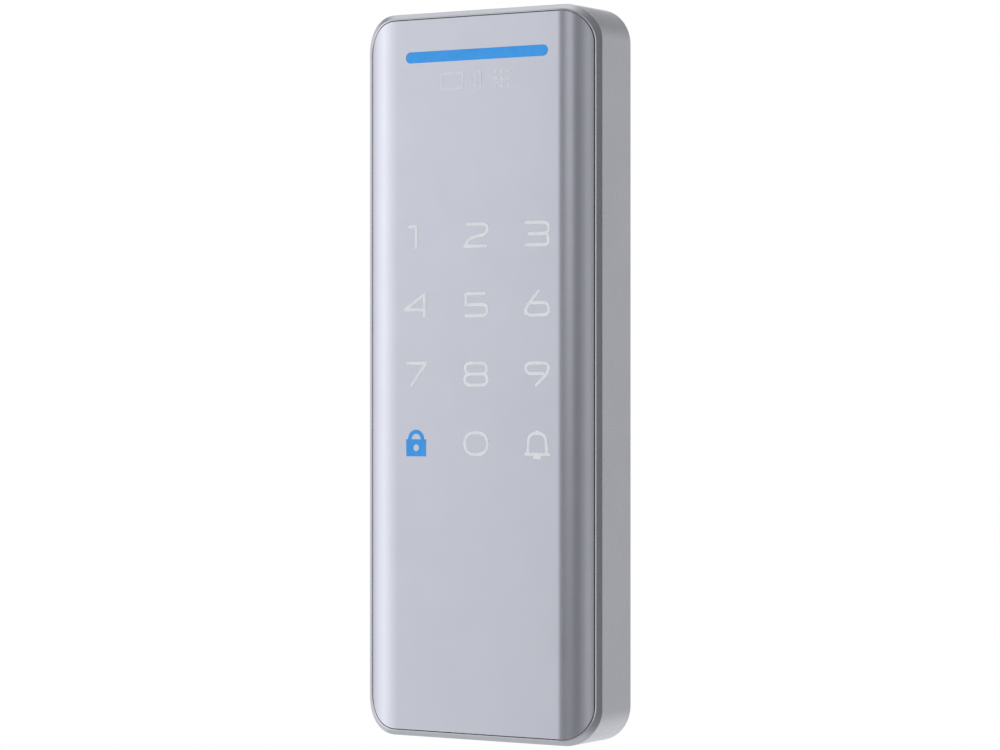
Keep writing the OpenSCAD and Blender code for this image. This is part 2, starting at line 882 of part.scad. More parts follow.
module main_board_screws() {
    color("silver")
        for (place = board_screw_places)
            small_screw(place, main_front_y, board_screw_len, board_screw_head_h, -1);
}

module tamper_switch() {
    color("black") difference() {
        on_main(tamper_place, tamper_size);
        rod_y(tamper_x, tamper_z, plunger_r + plunger_clear, main_back_y, spring_end_y);
        rod_y(tamper_x, tamper_z, tamper_bore_r, main_front_y - tamper_lid_t, spring_end_y);
    }
}

module tamper_plunger() {
    color("white") {
        rod_y(tamper_x, tamper_z, plunger_r, plunger_out, plunger_flange_y - plunger_flange_t / 2);
        rod_y(tamper_x, tamper_z, plunger_flange_r, plunger_flange_y,
            plunger_flange_y - plunger_flange_t);
    }
}

module tamper_spring() {
    start_y = plunger_flange_y - plunger_flange_t;
    coils = 4;
    wire_r = 0.18;
    pitch = (start_y - spring_end_y - 2 * wire_r) / (coils - 1);
    color("silver")
        for (i = [0:coils - 1])
            translate([tamper_x, start_y - wire_r - i * pitch, tamper_z])
                rotate([90, 0, 0])
                    rotate_extrude()
                        translate([1.7, 0]) circle(wire_r, $fn = 16);
}

module rear_cover() {
    color("gray") difference() {
        union() {
            slab_y(cover_back_y, cover_front_y)
                rounded_rect(cavity_w - 2 * cover_gap, cavity_h - 2 * cover_gap,
                    cavity_r - cover_gap);
            for (side = [-1, 1]) {
                hook_pocket(side * hook_x, 2 * pocket_wall, hook_pocket_y - pocket_wall);
                rod_y(0, side * wall_screw_pitch / 2, dimple_r + pocket_wall,
                    cover_back_y, cover_back_y - dimple_depth);
            }
            block(0, (bottom_z + wall_t + cover_gap + pocket_top_z + pocket_wall) / 2,
                pocket_w + 2 * pocket_wall,
                pocket_top_z + pocket_wall - bottom_z - wall_t - cover_gap,
                cover_back_y, pocket_front_y - pocket_wall);
            for (place = board_screw_places)
                rod_y(place[0], place[1], standoff_r, cover_back_y - 0.2, main_back_y);
        }
        for (side = [-1, 1]) {
            block(side * hook_x, (hook_slot_bottom + hook_slot_top) / 2, hook_slot_w,
                hook_slot_top - hook_slot_bottom, cover_back_y + cut, cover_front_y - 0.1);
            hook_pocket(side * hook_x, 0, hook_pocket_y);
            rod_y(0, side * wall_screw_pitch / 2, dimple_r, cover_back_y + cut,
                cover_back_y - dimple_depth + pocket_wall);
        }
        block(0, (bottom_z + pocket_top_z) / 2, pocket_w, pocket_top_z - bottom_z,
            cover_back_y + cut, pocket_front_y);
        for (place = boss_places) screw_hole(place);
        for (place = board_screw_places)
            rod_y(place[0], place[1], board_screw_r, cover_front_y + 0.7, main_back_y - cut);
        rod_y(tamper_x, tamper_z, plunger_r + plunger_clear, cover_back_y + cut, main_back_y);
        rod_y(0, cable_z, grommet_neck_r, cover_back_y + cut, cover_front_y - cut);
    }
}

// The hollow that a hook's lip stands in, or that hollow's walls when grown
module hook_pocket(x, grow, fore_y) {
    block(x, (hook_slot_bottom + hook_pocket_top) / 2, hook_slot_w + grow,
        hook_pocket_top - hook_slot_bottom + grow, grow > 0 ? cover_front_y + 0.2 : cover_front_y,
        fore_y);
}

module screw_hole(place) {
    rod_y(place[0], place[1], cover_screw_r + 0.1, cover_back_y + cut, cover_front_y - cut);
    translate([place[0], cover_back_y, place[1]])
        rotate([90, 0, 0])
            cylinder(r1 = cover_screw_head_r, r2 = cover_screw_r + 0.1, h = cover_screw_head_h);
}

module rear_gasket() {
    color("black") difference() {
        slab_y(cover_front_y, ledge_back_y)
            rounded_rect(cavity_w - 0.1, cavity_h - 0.1, cavity_r - 0.05);
        slab_y(cover_front_y + cut, ledge_back_y - cut)
            rounded_rect(cavity_w - 2 * gasket_w, cavity_h - 2 * gasket_w, cavity_r - gasket_w);
        block(0, bottom_z, pocket_w + 2 * pocket_wall + 1, 2 * (foot_h + 4), cut, front_y);
    }
}

module cover_screws() {
    color("silver")
        for (place = boss_places) {
            translate([place[0], cover_back_y, place[1]])
                rotate([90, 0, 0])
                    cylinder(r1 = cover_screw_head_r - 0.05, r2 = cover_screw_r,
                        h = cover_screw_head_h);
            rod_y(place[0], place[1], cover_screw_r, cover_back_y - cover_screw_head_h / 2,
                cover_back_y - cover_screw_len);
        }
}

module thread_inserts() {
    color("gold")
        for (place = boss_places)
            difference() {
                rod_y(place[0], place[1], insert_r, cover_front_y, cover_front_y - insert_len);
                rod_y(place[0], place[1], cover_screw_r, cover_front_y + cut,
                    cover_front_y - insert_len - cut);
            }
}

module cable_grommet() {
    color("black") translate([0, 0, cable_z]) difference() {
        union() {
            rod_y(0, 0, grommet_flange_r, cover_back_y + grommet_flange_t, cover_back_y);
            rod_y(0, 0, grommet_neck_r, cover_back_y, cover_front_y);
            rod_y(0, 0, grommet_flange_r, cover_front_y, cover_front_y - grommet_flange_t);
        }
        rod_y(0, 0, cable_d / 2, cut, cover_front_y - grommet_flange_t - cut);
    }
}

module rating_label() {
    color("white") block(0, label_z, label_w, label_h, cover_back_y + label_t, cover_back_y);
}

wall_plate();
security_screw();
screw_washer();
housing();
front_panel();
panel_tape();
light_bar();
key_legends();
lock_legend();
card_mark();
diffuser_film();
light_baffle();
touch_board();
touch_electrodes();
key_leds();
status_leds();
touch_controller();
touch_board_screws();
link_plug();
link_socket();
main_board();
microcontroller();
reader_chip();
crystal();
power_regulator();
power_inductor();
capacitors();
relay();
buzzer();
terminal_block();
terminal_screws();
antenna_board();
antenna_coil();
ferrite_sheet();
antenna_pins();
main_board_screws();
tamper_switch();
tamper_plunger();
tamper_spring();
rear_cover();
rear_gasket();
cover_screws();
thread_inserts();
cable_grommet();
rating_label();
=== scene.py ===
"""Looks of the keypad access reader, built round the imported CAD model.

Lengths are in millimetres unless a comment says otherwise, and MM turns them into metres.
Axes are the frame's: +X right seen from the front, +Y into the wall, +Z up, wall at y = 0.
"""

import json
import math

import bmesh
import bpy
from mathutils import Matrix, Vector


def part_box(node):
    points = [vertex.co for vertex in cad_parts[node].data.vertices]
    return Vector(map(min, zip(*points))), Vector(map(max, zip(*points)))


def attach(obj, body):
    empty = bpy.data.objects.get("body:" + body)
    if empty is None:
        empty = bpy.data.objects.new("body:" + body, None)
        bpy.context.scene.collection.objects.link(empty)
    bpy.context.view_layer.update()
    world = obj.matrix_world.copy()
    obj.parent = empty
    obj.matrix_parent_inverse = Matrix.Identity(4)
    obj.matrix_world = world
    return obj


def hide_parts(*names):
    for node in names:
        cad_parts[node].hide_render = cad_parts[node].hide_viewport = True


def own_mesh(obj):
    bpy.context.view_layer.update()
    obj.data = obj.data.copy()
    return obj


MM = 0.001

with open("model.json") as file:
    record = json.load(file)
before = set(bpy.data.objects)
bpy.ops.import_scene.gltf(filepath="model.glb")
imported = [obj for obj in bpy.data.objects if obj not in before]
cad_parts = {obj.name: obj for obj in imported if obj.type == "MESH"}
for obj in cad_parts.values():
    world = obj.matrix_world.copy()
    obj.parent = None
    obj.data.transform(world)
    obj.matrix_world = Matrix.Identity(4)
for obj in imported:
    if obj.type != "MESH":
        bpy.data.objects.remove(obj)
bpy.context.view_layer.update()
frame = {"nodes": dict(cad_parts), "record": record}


def low(node):
    """Lowest corner of a CAD node, in millimetres."""
    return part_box(node)[0] / MM


def high(node):
    """Highest corner of a CAD node, in millimetres."""
    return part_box(node)[1] / MM


# ---- Sizes, from the frame where it has them ----

body_w = high("housing").x - low("housing").x
body_h = high("housing").z - low("housing").z
front_y = low("front_panel").y
top_z = high("housing").z
bottom_z = low("housing").z
panel_w = high("front_panel").x - low("front_panel").x

# Corner radii seen from the front, and the panel's seam
corner_r = 8
panel_r = 7.2
panel_seam = 0.2
recess_r = panel_r + panel_seam
rim_w = (body_w - panel_w) / 2 - panel_seam
rim_drop = 0.9
panel_t = 2
tape_t = 0.3
panel_edge = 0.1

# The panel is flat in the middle and bends back along each side
bend_w = 8
bend_drop = 2.2
flat_half = panel_w / 2 - bend_w
panel_bend = (bend_w ** 2 + bend_drop ** 2) / (2 * bend_drop)
side_bend_w = body_w / 2 - flat_half
side_bend = (side_bend_w ** 2 + bend_drop ** 2) / (2 * bend_drop)

# Inside of the housing
wall_t = 2
cavity_r = corner_r - wall_t
ledge_w = 1.8
ledge_t = 1.2
seal_ledge_w = 1.2
seal_front_y = -5.5
seal_back_y = low("rear_gasket").y

# Foot under the security screw
foot_half_w = 5
foot_h = 4
foot_front_y = -9
screw_x = 0
screw_y = (low("security_screw").y + high("security_screw").y) / 2
screw_head_r = (high("security_screw").x - low("security_screw").x) / 2
screw_head_z = low("security_screw").z
screw_tip_z = high("security_screw").z
screw_head_h = 2
screw_r = 1.5

# Points closer than the first are joined, and edges sharper than the second, in degrees, are worn round
WELD_DISTANCE = 0.0005
WORN_ANGLE = 40

# How far a carving tool runs past what it cuts
CARVE_PAST = 1

ARC_STEPS = 18
BEND_STEPS = 4
FLAT_STEPS = 10


# ---- Mesh helpers ----

def mix(a, b, share):
    """The number that lies a share of the way from a to b."""
    return a + (b - a) * share


def curve_points(a, corner, b, steps):
    """Points of a rounded corner from a to b."""
    points = []
    for i in range(steps + 1):
        t = i / steps
        points.append(tuple(
            (1 - t) ** 2 * p + 2 * t * (1 - t) * q + t * t * r for p, q, r in zip(a, corner, b)
        ))
    return points


def top_half(w, h, r):
    """Points (x, z) of the upper half of a rounded rectangle, from left to right."""
    left = []
    for i in range(ARC_STEPS + 1):
        turn = math.pi / 2 * i / ARC_STEPS
        left.append((-w / 2 + r - r * math.cos(turn), h / 2 - r + r * math.sin(turn)))
    arc_end = w / 2 - r
    for i in range(1, BEND_STEPS + 1):
        left.append((-mix(arc_end, flat_half, i / BEND_STEPS), h / 2))
    for i in range(1, FLAT_STEPS // 2):
        left.append((-flat_half * (1 - 2 * i / FLAT_STEPS), h / 2))
    return left + [(0, h / 2)] + [(-x, z) for x, z in reversed(left)]


def fall(x, bend):
    """How far a bent surface has fallen back at a place across the reader."""
    past = max(0, abs(x) - flat_half)
    return bend - math.sqrt(bend ** 2 - past ** 2)


def ring(bm, inset, r, y, bend=None):
    """A loop of vertices round the reader, inset from its outline, at a depth or following a bend."""
    half = top_half(body_w - 2 * inset, body_h - 2 * inset, r)
    loop = half + [(x, -z) for x, z in reversed(half)]
    vertices = []
    for x, z in loop:
        depth = y + (fall(x, bend) if bend else 0)
        vertices.append(bm.verts.new((x * MM, depth * MM, z * MM)))
    return vertices


def join_rings(bm, rings, closed):
    """Faces between loops that follow each other, and from the last to the first when closed."""
    count = len(rings[0])
    for i in range(len(rings) if closed else len(rings) - 1):
        here = rings[i]
        there = rings[(i + 1) % len(rings)]
        for k in range(count):
            n = (k + 1) % count
            bm.faces.new((here[k], here[n], there[n], there[k]))


def fill_columns(bm, loop):
    """Closes a loop of the reader with upright strips, so that a bend stays exact."""
    count = len(loop)
    for k in range(count // 2 - 1):
        bm.faces.new((loop[k], loop[k + 1], loop[count - 2 - k], loop[count - 1 - k]))


def lathe(bm, profile, steps, place, axis="Z"):
    """Turns a profile of (radius, height) points about an upright or a depthwise axis."""
    loops = []
    for radius, height in profile:
        loop = []
        for i in range(steps):
            turn = 2 * math.pi * i / steps
            a = radius * math.cos(turn)
            b = radius * math.sin(turn)
            point = Vector((a, b, height)) if axis == "Z" else Vector((a, height, b))
            loop.append(bm.verts.new((point + Vector(place)) * MM))
        loops.append(loop)
    join_rings(bm, loops, False)
    return loops


def tube(bm, path, radius, sides, closed_ends=True):
    """A round wire along a path of points."""
    loops = []
    for i, point in enumerate(path):
        before = Vector(path[max(i - 1, 0)])
        after = Vector(path[min(i + 1, len(path) - 1)])
        along = (after - before).normalized()
        side = along.cross(Vector((0, 0.31, 0.95))).normalized()
        up = along.cross(side).normalized()
        loop = []
        for k in range(sides):
            turn = 2 * math.pi * k / sides
            offset = side * math.cos(turn) * radius + up * math.sin(turn) * radius
            loop.append(bm.verts.new((Vector(point) + offset) * MM))
        loops.append(loop)
    join_rings(bm, loops, False)
    if closed_ends:
        bm.faces.new(loops[0])
        bm.faces.new(loops[-1])


def prism(bm, points, start, end, axis="Y"):
    """A solid with a flat outline, drawn in X-Z along the depth or in X-Y along the height."""
    loops = []
    for level in (start, end):
        if axis == "Y":
            loops.append([bm.verts.new((a * MM, level * MM, b * MM)) for a, b in points])
        else:
            loops.append([bm.verts.new((a * MM, b * MM, level * MM)) for a, b in points])
    join_rings(bm, loops, False)
    bm.faces.new(loops[0])
    bm.faces.new(loops[1])


def capsule(x, z, length, height, steps=16):
    """Outline of a bar with full round ends."""
    reach = (length - height) / 2
    points = []
    for side in (1, -1):
        for i in range(steps + 1):
            turn = math.pi * (i / steps - 0.5)
            points.append((
                x + side * (reach + height / 2 * math.cos(turn)),
                z + side * height / 2 * math.sin(turn),
            ))
    return points


def make_object(name, bm, sharp_degrees=40):
    """A mesh object from what was drawn, smooth except at its sharp edges."""
    bmesh.ops.recalc_face_normals(bm, faces=bm.faces)
    mesh = bpy.data.meshes.new(name)
    bm.to_mesh(mesh)
    bm.free()
    mesh.shade_smooth()
    mesh.set_sharp_from_angle(angle=math.radians(sharp_degrees))
    made = bpy.data.objects.new(name, mesh)
    bpy.context.scene.collection.objects.link(made)
    return made


def carve(target, tool, operation):
    """Joins a solid to a piece or cuts it away, then drops the tool."""
    modifier = target.modifiers.new(operation.lower(), "BOOLEAN")
    modifier.operation = operation
    modifier.solver = "EXACT"
    modifier.object = tool
    graph = bpy.context.evaluated_depsgraph_get()
    result = bpy.data.meshes.new_from_object(target.evaluated_get(graph))
    target.modifiers.clear()
    target.data = result
    bpy.data.objects.remove(tool)


def even_shading(target, sharp_degrees=40):
    """Lets big faces rule the shading at rounded edges."""
    target.data.shade_smooth()
    target.data.set_sharp_from_angle(angle=math.radians(sharp_degrees))
    modifier = target.modifiers.new("even_shading", "WEIGHTED_NORMAL")
    modifier.keep_sharp = True
    modifier.weight = 90


# ---- Material helpers ----

def srgb(red, green, blue):
    """A colour given in screen values from 0 to 255."""
    def linear(value):
        share = value / 255
        return share / 12.92 if share <= 0.04045 else ((share + 0.055) / 1.055) ** 2.4
    return (linear(red), linear(green), linear(blue), 1)


def grey(value):
    """A grey given in screen values."""
    return srgb(value, value, value)


def add_node(tree, kind, inputs=None, **settings):
    """A shader node with its settings, and its inputs set or linked."""
    made = tree.nodes.new(kind)
    for key, value in settings.items():
        setattr(made, key, value)
    for key, value in (inputs or {}).items():
        if isinstance(value, bpy.types.NodeSocket):
            tree.links.new(value, made.inputs[key])
        else:
            made.inputs[key].default_value = value
    return made


def new_material(name):
    """A material with its shader, and the place on the piece in metres."""
    material = bpy.data.materials.new(name)
    material.use_nodes = True
    tree = material.node_tree
    shader = tree.nodes["Principled BSDF"]
    coordinates = add_node(tree, "ShaderNodeTexCoord").outputs["Object"]
    return material, tree, shader, coordinates


def stretched(tree, coordinates, x, y, z):
    """Coordinates squeezed along each axis, for streaks."""
    return add_node(
        tree, "ShaderNodeMapping", {"Vector": coordinates, "Scale": (x, y, z)}
    ).outputs["Vector"]


def noise(tree, coordinates, feature, detail=2.0, roughness=0.5):
    """Noise whose spots are about a feature size across."""
    return add_node(tree, "ShaderNodeTexNoise", {
        "Vector": coordinates,
        "Scale": 1 / (feature * MM),
        "Detail": detail,
        "Roughness": roughness,
    }).outputs["Fac"]


def cells(tree, coordinates, feature, output="Distance"):
    """Voronoi cells about a feature size across."""
    return add_node(tree, "ShaderNodeTexVoronoi", {
        "Vector": coordinates,
        "Scale": 1 / (feature * MM),
    }).outputs[output]


def ramp(tree, factor, stops):
    """Colours along a factor, as (position, colour) stops."""
    made = add_node(tree, "ShaderNodeValToRGB", {"Fac": factor})
    elements = made.color_ramp.elements
    while len(elements) < len(stops):
        elements.new(0.5)
    for element, (position, colour) in zip(elements, stops):
        element.position = position
        element.color = colour
    return made.outputs["Color"]


def between(tree, factor, smallest, largest):
    """A factor from 0 to 1 turned into a range."""
    return add_node(tree, "ShaderNodeMapRange", {
        "Value": factor,
        "To Min": smallest,
        "To Max": largest,
    }).outputs["Result"]


def sum_of(tree, a, b, operation="ADD"):
    """Two values joined by one sum."""
    return add_node(tree, "ShaderNodeMath", {0: a, 1: b}, operation=operation).outputs[0]


def bump(tree, shader, height, depth, strength=1.0):
    """Fine relief on a material, its depth in millimetres."""
    made = add_node(tree, "ShaderNodeBump", {
        "Height": height,
        "Distance": depth * MM,
        "Strength": strength,
    })
    tree.links.new(made.outputs["Normal"], shader.inputs["Normal"])


def link(tree, socket, shader, name):
    """Links a socket to a shader input."""
    tree.links.new(socket, shader.inputs[name])


# ---- Materials ----

def silver_paint(name, dark, light, roughness, flake, peel):
    """Satin silver coat: fine metal flakes, slow drifts of tone and a faint orange peel."""
    material, tree, shader, place = new_material(name)
    flakes = noise(tree, place, flake, 1.0)
    drift = noise(tree, place, 14, 2.0)
    tone = sum_of(tree, between(tree, flakes, 0.2, 0.6), between(tree, drift, 0, 0.25))
    link(tree, ramp(tree, tone, [(0.2, dark), (0.8, light)]), shader, "Base Color")
    link(tree, between(tree, noise(tree, place, 3, 3.0), roughness - 0.03, roughness + 0.03),
         shader, "Roughness")
    shader.inputs["Metallic"].default_value = 0.86
    relief = sum_of(tree, between(tree, flakes, 0, 0.12), noise(tree, place, peel, 2.0))
    bump(tree, shader, relief, 0.003, 0.5)
    return material


def moulded(name, dark, light, roughness, grain, depth, patch=6):
    """Moulded plastic with a spark-eroded grain and slight tone changes."""
    material, tree, shader, place = new_material(name)
    tone = noise(tree, place, patch, 4.0, 0.6)
    link(tree, ramp(tree, tone, [(0.3, dark), (0.7, light)]), shader, "Base Color")
    texture = noise(tree, place, grain, 3.0, 0.6)
    link(tree, between(tree, texture, roughness - 0.08, roughness + 0.08), shader, "Roughness")
    bump(tree, shader, texture, depth, 0.8)
    return material


def rubber(name, dark, light, grain):
    """Matt black rubber or foam with fine pores and a pale bloom."""
    material, tree, shader, place = new_material(name)
    pores = cells(tree, place, grain)
    bloom = noise(tree, place, 4, 4.0)
    tone = sum_of(tree, between(tree, pores, 0, 0.5), between(tree, bloom, 0, 0.5))
    link(tree, ramp(tree, tone, [(0.25, dark), (0.75, light)]), shader, "Base Color")
    shader.inputs["Sheen Weight"].default_value = 0.15
    shader.inputs["Roughness"].default_value = 0.78
    bump(tree, shader, pores, 0.03, 0.6)
    return material


def drawn_metal(name, dark, light, roughness, streak):
    """Drawn, turned or rolled metal with fine streaks along one direction."""
    material, tree, shader, place = new_material(name)
    lines = noise(tree, stretched(tree, place, *streak), 0.12, 3.0, 0.6)
    stain = noise(tree, place, 2.5, 4.0)
    tone = sum_of(tree, between(tree, lines, 0, 0.6), between(tree, stain, 0, 0.4))
    link(tree, ramp(tree, tone, [(0.25, dark), (0.75, light)]), shader, "Base Color")
    link(tree, between(tree, lines, roughness - 0.07, roughness + 0.1), shader, "Roughness")
    shader.inputs["Metallic"].default_value = 1.0
    bump(tree, shader, lines, 0.008, 0.5)
    return material


def galvanised(name):
    """Zinc-coated sheet with pale crystal patches, rolling lines and small scuffs."""
    material, tree, shader, place = new_material(name)
    crystals = add_node(tree, "ShaderNodeSeparateColor", {
        "Color": cells(tree, place, 2.6, "Color"),
    }).outputs["Red"]
    lines = noise(tree, stretched(tree, place, 1, 1, 0.06), 0.1, 3.0)
    scuffs = noise(tree, place, 9, 6.0, 0.65)
    tone = sum_of(tree, between(tree, crystals, 0, 0.3), between(tree, lines, 0, 0.3))
    tone = sum_of(tree, tone, between(tree, scuffs, 0, 0.25))
    link(tree, ramp(tree, tone, [(0.2, grey(164)), (0.8, srgb(206, 209, 212))]), shader, "Base Color")
    link(tree, between(tree, sum_of(tree, crystals, scuffs, "MULTIPLY"), 0.3, 0.52), shader, "Roughness")
    shader.inputs["Metallic"].default_value = 1.0
    bump(tree, shader, tone, 0.01, 0.4)
    return material


def circuit_board(name, mask_dark, mask_light):
    """Solder mask over copper tracks, with the glass weave just showing."""
    material, tree, shader, place = new_material(name)
    tracks = add_node(tree, "ShaderNodeTexBrick", {
        "Vector": add_node(tree, "ShaderNodeMapping", {
            "Vector": place, "Rotation": (math.radians(90), 0, 0),
        }).outputs["Vector"],
        "Scale": 1 / (3.2 * MM),
        "Mortar Size": 0.05,
        "Mortar Smooth": 0.1,
        "Color1": (0, 0, 0, 1),
        "Color2": (0.15, 0.15, 0.15, 1),
        "Mortar": (1, 1, 1, 1),
    }, offset=0.37, squash=0.7, squash_frequency=3).outputs["Color"]
    weave = add_node(tree, "ShaderNodeTexChecker", {
        "Vector": place, "Scale": 1 / (0.35 * MM),
    }).outputs["Fac"]
    tone = sum_of(tree, between(tree, tracks, 0, 0.7), between(tree, weave, 0, 0.08))
    tone = sum_of(tree, tone, between(tree, noise(tree, place, 8, 3.0), 0, 0.2))
    link(tree, ramp(tree, tone, [(0.05, mask_dark), (0.9, mask_light)]), shader, "Base Color")
    link(tree, between(tree, noise(tree, place, 0.6, 2.0), 0.22, 0.36), shader, "Roughness")
    shader.inputs["Coat Weight"].default_value = 0.4
    shader.inputs["Coat Roughness"].default_value = 0.12
    bump(tree, shader, tracks, 0.035, 0.7)
    return material


def windings(name, dark, light):
    """Enamelled copper turns that lie side by side."""
    material, tree, shader, place = new_material(name)
    turns = add_node(tree, "ShaderNodeTexWave", {
        "Vector": place, "Scale": 1 / (1.3 * MM), "Distortion": 0.6, "Detail": 1.0,
    }, wave_type="BANDS", bands_direction="DIAGONAL").outputs["Fac"]
    link(tree, ramp(tree, turns, [(0.1, dark), (0.7, light)]), shader, "Base Color")
    shader.inputs["Metallic"].default_value = 0.9
    link(tree, between(tree, noise(tree, place, 0.4), 0.22, 0.38), shader, "Roughness")
    bump(tree, shader, turns, 0.05, 0.6)
    return material


def lit_print(name, dark, light, glow, strength):
    """Printed legend that its lamp lights from behind, a little uneven like all thin prints."""
    material, tree, shader, place = new_material(name)
    spread = noise(tree, place, 1.8, 3.0)
    colour = ramp(tree, spread, [(0.25, dark), (0.75, light)])
    link(tree, colour, shader, "Base Color")
    link(tree, ramp(tree, spread, [(0.25, glow[0]), (0.75, glow[1])]), shader, "Emission Color")
    shader.inputs["Emission Strength"].default_value = strength
    link(tree, between(tree, noise(tree, place, 0.2), 0.35, 0.5), shader, "Roughness")
    bump(tree, shader, noise(tree, place, 0.15), 0.004, 0.5)
    return material


def label_stock(name):
    """Blank polyester label with faint fibres."""
    material, tree, shader, place = new_material(name)
    fibres = noise(tree, stretched(tree, place, 1, 1, 0.2), 0.3, 4.0, 0.6)
    link(tree, ramp(tree, fibres, [(0.3, grey(226)), (0.7, grey(240))]), shader, "Base Color")
    link(tree, between(tree, fibres, 0.42, 0.6), shader, "Roughness")
    bump(tree, shader, fibres, 0.01, 0.4)
    return material


STREAK_ROUND = (0.15, 0.15, 1)
STREAK_DEPTH = (1, 0.08, 1)


def make_materials():
    """One material for each material slot of the record."""
    made = {}
    made["housing_plastic"] = silver_paint(
        "housing_paint", srgb(196, 199, 206), srgb(218, 220, 227), 0.28, 0.22, 1.4)
    made["panel_plastic"] = silver_paint(
        "panel_paint", srgb(203, 205, 217), srgb(217, 219, 231), 0.17, 0.16, 2.2)
    made["tape_black"] = rubber("acrylic_tape", grey(52), grey(76), 0.25)
    made["light_lens"] = lit_print(
        "light_lens", srgb(28, 78, 146), srgb(34, 84, 154),
        (srgb(37, 131, 194), srgb(43, 137, 200)), 1.0)
    made["legend_white"] = lit_print(
        "legend_white", srgb(222, 225, 230), srgb(236, 238, 242),
        (srgb(206, 209, 214), srgb(222, 225, 230)), 0.34)
    made["legend_blue"] = lit_print(
        "legend_blue", srgb(28, 78, 146), srgb(34, 84, 154),
        (srgb(35, 126, 190), srgb(45, 136, 200)), 1.0)
    made["legend_grey"] = lit_print(
        "legend_grey", srgb(208, 212, 219), srgb(220, 223, 229),
        (srgb(200, 204, 212), srgb(214, 218, 226)), 0.34)
    made["film"] = moulded("diffuser_film", grey(226), grey(240), 0.55, 0.1, 0.004)
    made["baffle_plastic"] = moulded(
        "baffle_white", srgb(222, 221, 214), srgb(236, 235, 230), 0.5, 0.18, 0.02)
    made["board_green"] = circuit_board("solder_mask", srgb(10, 70, 42), srgb(44, 128, 76))
    made["copper"] = windings("copper_turns", srgb(120, 62, 36), srgb(214, 140, 98))
    made["gold"] = drawn_metal("gold_plate", srgb(196, 152, 66), srgb(232, 196, 112), 0.22, STREAK_DEPTH)
    made["brass_metal"] = drawn_metal("brass", srgb(168, 134, 70), srgb(214, 184, 112), 0.3, STREAK_DEPTH)
    made["led_body"] = lit_print(
        "led_resin", srgb(226, 222, 190), srgb(246, 244, 226), (grey(220), grey(246)), 0.3)
    made["chip_black"] = moulded("chip_epoxy", grey(30), grey(46), 0.5, 0.12, 0.012, 1.5)
    made["can_metal"] = drawn_metal("tin_plate", grey(176), grey(214), 0.3, STREAK_DEPTH)
    made["ceramic"] = moulded("ceramic", srgb(168, 136, 96), srgb(198, 168, 126), 0.42, 0.1, 0.01, 1)
    made["relay_plastic"] = moulded("relay_case", srgb(206, 106, 30), srgb(226, 128, 44), 0.4, 0.2, 0.015)
    made["connector_white"] = moulded(
        "nylon_socket", srgb(222, 214, 192), srgb(238, 232, 214), 0.45, 0.2, 0.015)
    made["terminal_green"] = moulded("terminal_case", srgb(36, 128, 74), srgb(52, 148, 90), 0.42, 0.2, 0.015)
    made["ferrite"] = rubber("ferrite_sheet", grey(74), grey(104), 0.2)
    made["plated_steel"] = drawn_metal(
        "zinc_plate", srgb(166, 169, 174), srgb(214, 216, 220), 0.28, STREAK_DEPTH)
    made["stainless"] = drawn_metal("stainless", grey(150), grey(206), 0.24, STREAK_ROUND)
    made["plate_steel"] = galvanised("galvanised_sheet")
    made["spring_steel"] = drawn_metal("spring_wire", grey(150), grey(200), 0.25, STREAK_DEPTH)
    made["cover_plastic"] = moulded("cover_grain", srgb(62, 64, 68), srgb(80, 82, 87), 0.62, 0.28, 0.035)
    made["washer_nylon"] = moulded("washer_nylon", srgb(226, 226, 218), srgb(242, 242, 236), 0.42, 0.2, 0.01)
    made["plunger_plastic"] = moulded("acetal", srgb(222, 221, 208), srgb(240, 239, 230), 0.35, 0.25, 0.006)
    made["gasket_rubber"] = rubber("gasket_foam", grey(22), grey(42), 0.2)
    made["grommet_rubber"] = rubber("grommet_rubber", grey(26), grey(48), 0.35)
    made["label_paper"] = label_stock("label_polyester")
    return made


# ---- Reader: housing, panel and light bar ----

def rim_station(inset, depth):
    """A station of the sloping rim: inset, radius, depth and bend."""
    share = inset / rim_w
    return inset, mix(corner_r, recess_r, share), front_y + depth, mix(side_bend, panel_bend, share)


def rim_profile():
    """Stations from the housing's side, over the rim and its narrow land, to the panel's recess."""
    roll = 0.16
    land_start = rim_w - 0.24
    land_end = rim_w + 0.05
    lip = 0.06
    roll_points = curve_points(
        (0, rim_drop + roll), (0, rim_drop), (roll, rim_drop * (1 - roll / land_start)), 6)
    land_points = curve_points((land_start - lip, 0.05), (land_start, 0), (land_start + lip, 0), 3)
    lip_points = curve_points((land_end - lip, 0), (land_end, 0), (land_end, lip), 3)
    return [rim_station(inset, depth) for inset, depth in roll_points + land_points + lip_points]


def inside_profile():
    """Stations from the panel's recess back through the cavity to the back edge."""
    edge = 0.15
    ledge_front = front_y + panel_t + tape_t
    opening_inset = wall_t + ledge_w
    opening_r = cavity_r - ledge_w
    seal_inset = wall_t + seal_ledge_w
    seal_r = cavity_r - seal_ledge_w
    return [
        (rim_w + 0.05, recess_r, ledge_front, panel_bend),
        (opening_inset, opening_r, ledge_front, panel_bend),
        (opening_inset, opening_r, ledge_front + ledge_t, panel_bend),
        (wall_t, cavity_r, ledge_front + ledge_t, panel_bend),
        (wall_t, cavity_r, seal_front_y, None),
        (seal_inset, seal_r, seal_front_y, None),
        (seal_inset, seal_r, seal_back_y, None),
        (wall_t, cavity_r, seal_back_y, None),
        (wall_t, cavity_r, -edge, None),
        (wall_t - edge, cavity_r + edge, 0, None),
        (edge, corner_r - edge, 0, None),
        (edge / 3, corner_r - edge / 3, -edge / 3, None),
        (0, corner_r, -edge, None),
    ]


def slot_outline(half_w, nose_y, steps=20):
    """Outline in X-Y of an upright slot, round at the front and open towards the wall."""
    points = [(half_w, CARVE_PAST), (half_w, nose_y)]
    for i in range(1, steps):
        turn = math.pi * i / steps
        points.append((half_w * math.cos(turn), nose_y - half_w * math.sin(turn)))
    return points + [(-half_w, nose_y), (-half_w, CARVE_PAST)]


